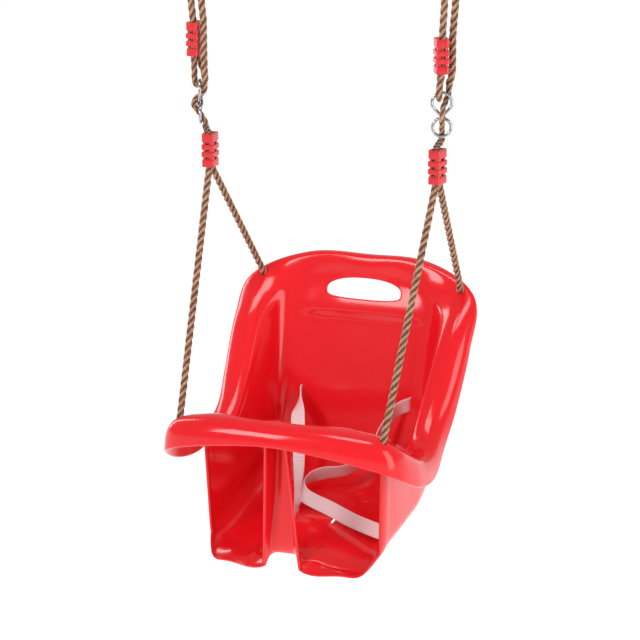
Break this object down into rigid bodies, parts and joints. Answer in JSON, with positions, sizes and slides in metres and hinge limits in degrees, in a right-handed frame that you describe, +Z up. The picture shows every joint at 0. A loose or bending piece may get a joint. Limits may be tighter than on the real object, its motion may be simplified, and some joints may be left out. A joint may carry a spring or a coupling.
{
  "type": "toddler bucket swing",
  "caption": "Moulded bucket seat with high back, front bar and pommel, hung on knotted ropes with rope clamps, wire height adjusters and steel rings.",
  "frame": {"origin": "on the swing axis, half way between the centres of the two steel rings", "axes": "+X to the right across the seat as seen from its front, -Y out of the seat's front, +Z up"},
  "size_m": [0.3836, 0.3856, 0.8204],
  "materials": {
    "ring_steel": "satin",
    "bright_wire": "polished",
    "rope": "twisted three-strand rope",
    "clamp_plastic": "satin moulded",
    "seat_plastic": "gloss moulded",
    "webbing": "woven tape",
    "black_plastic": "matte"
  },
  "bodies": {
    "hangers": {"ring_left": "ring_steel", "ring_right": "ring_steel"},
    "hanging_ropes": {"upper_rope_left": "rope", "upper_rope_right": "rope"},
    "rope_clamps": {"lower_clamp_left_inner": "clamp_plastic", "lower_clamp_left_outer": "clamp_plastic", "lower_clamp_right_inner": "clamp_plastic", "lower_clamp_right_outer": "clamp_plastic", "feed_rope_left": "rope", "feed_rope_right": "rope", "clamped_end_left": "rope", "clamped_end_right": "rope"},
    "adjuster_left": {"eight_left": "bright_wire", "weave_rope_left": "rope", "loop_rope_left": "rope", "upper_clamp_left_inner": "clamp_plastic", "upper_clamp_left_outer": "clamp_plastic"},
    "adjuster_right": {"eight_right": "bright_wire", "weave_rope_right": "rope", "loop_rope_right": "rope", "upper_clamp_right_inner": "clamp_plastic", "upper_clamp_right_outer": "clamp_plastic"},
    "seat": {"seat_shell": "seat_plastic", "front_rope_left": "rope", "front_rope_right": "rope", "back_rope_left": "rope", "back_rope_right": "rope", "front_knot_left": "rope", "front_knot_right": "rope", "back_knot_left": "rope", "back_knot_right": "rope", "belt_left": "webbing", "belt_right": "webbing", "belt_stop": "black_plastic"}
  },
  "joints": [
    {"name": "swing", "type": "hinge", "parent": "hangers", "child": "hanging_ropes", "pos_m": [0, 0, 0], "axis": [1, 0, 0], "range_deg": [-50, 50]},
    {"name": "height", "type": "slide", "parent": "hanging_ropes", "child": "rope_clamps", "axis": [0, 0, -1], "range_m": [0, 0.06], "deforming": ["upper_rope_left", "upper_rope_right"]},
    {"name": "adjuster_left_slide", "type": "slide", "parent": "rope_clamps", "child": "adjuster_left", "axis": [0, 0, 1], "range_m": [0, 0.12]},
    {"name": "adjuster_right_slide", "type": "slide", "parent": "rope_clamps", "child": "adjuster_right", "axis": [0, 0, 1], "range_m": [0, 0.12]},
    {"name": "seat_pitch", "type": "hinge", "parent": "rope_clamps", "child": "seat", "pos_m": [0, -0.0005, -0.3062], "axis": [1, 0, 0], "range_deg": [-20, 20], "deforming": ["front_rope_left", "front_rope_right", "back_rope_left", "back_rope_right"]}
  ],
  "couplings": [
    {"joint": "adjuster_left_slide", "follows": "height", "ratio": 2},
    {"joint": "adjuster_right_slide", "follows": "height", "ratio": 2}
  ]
}
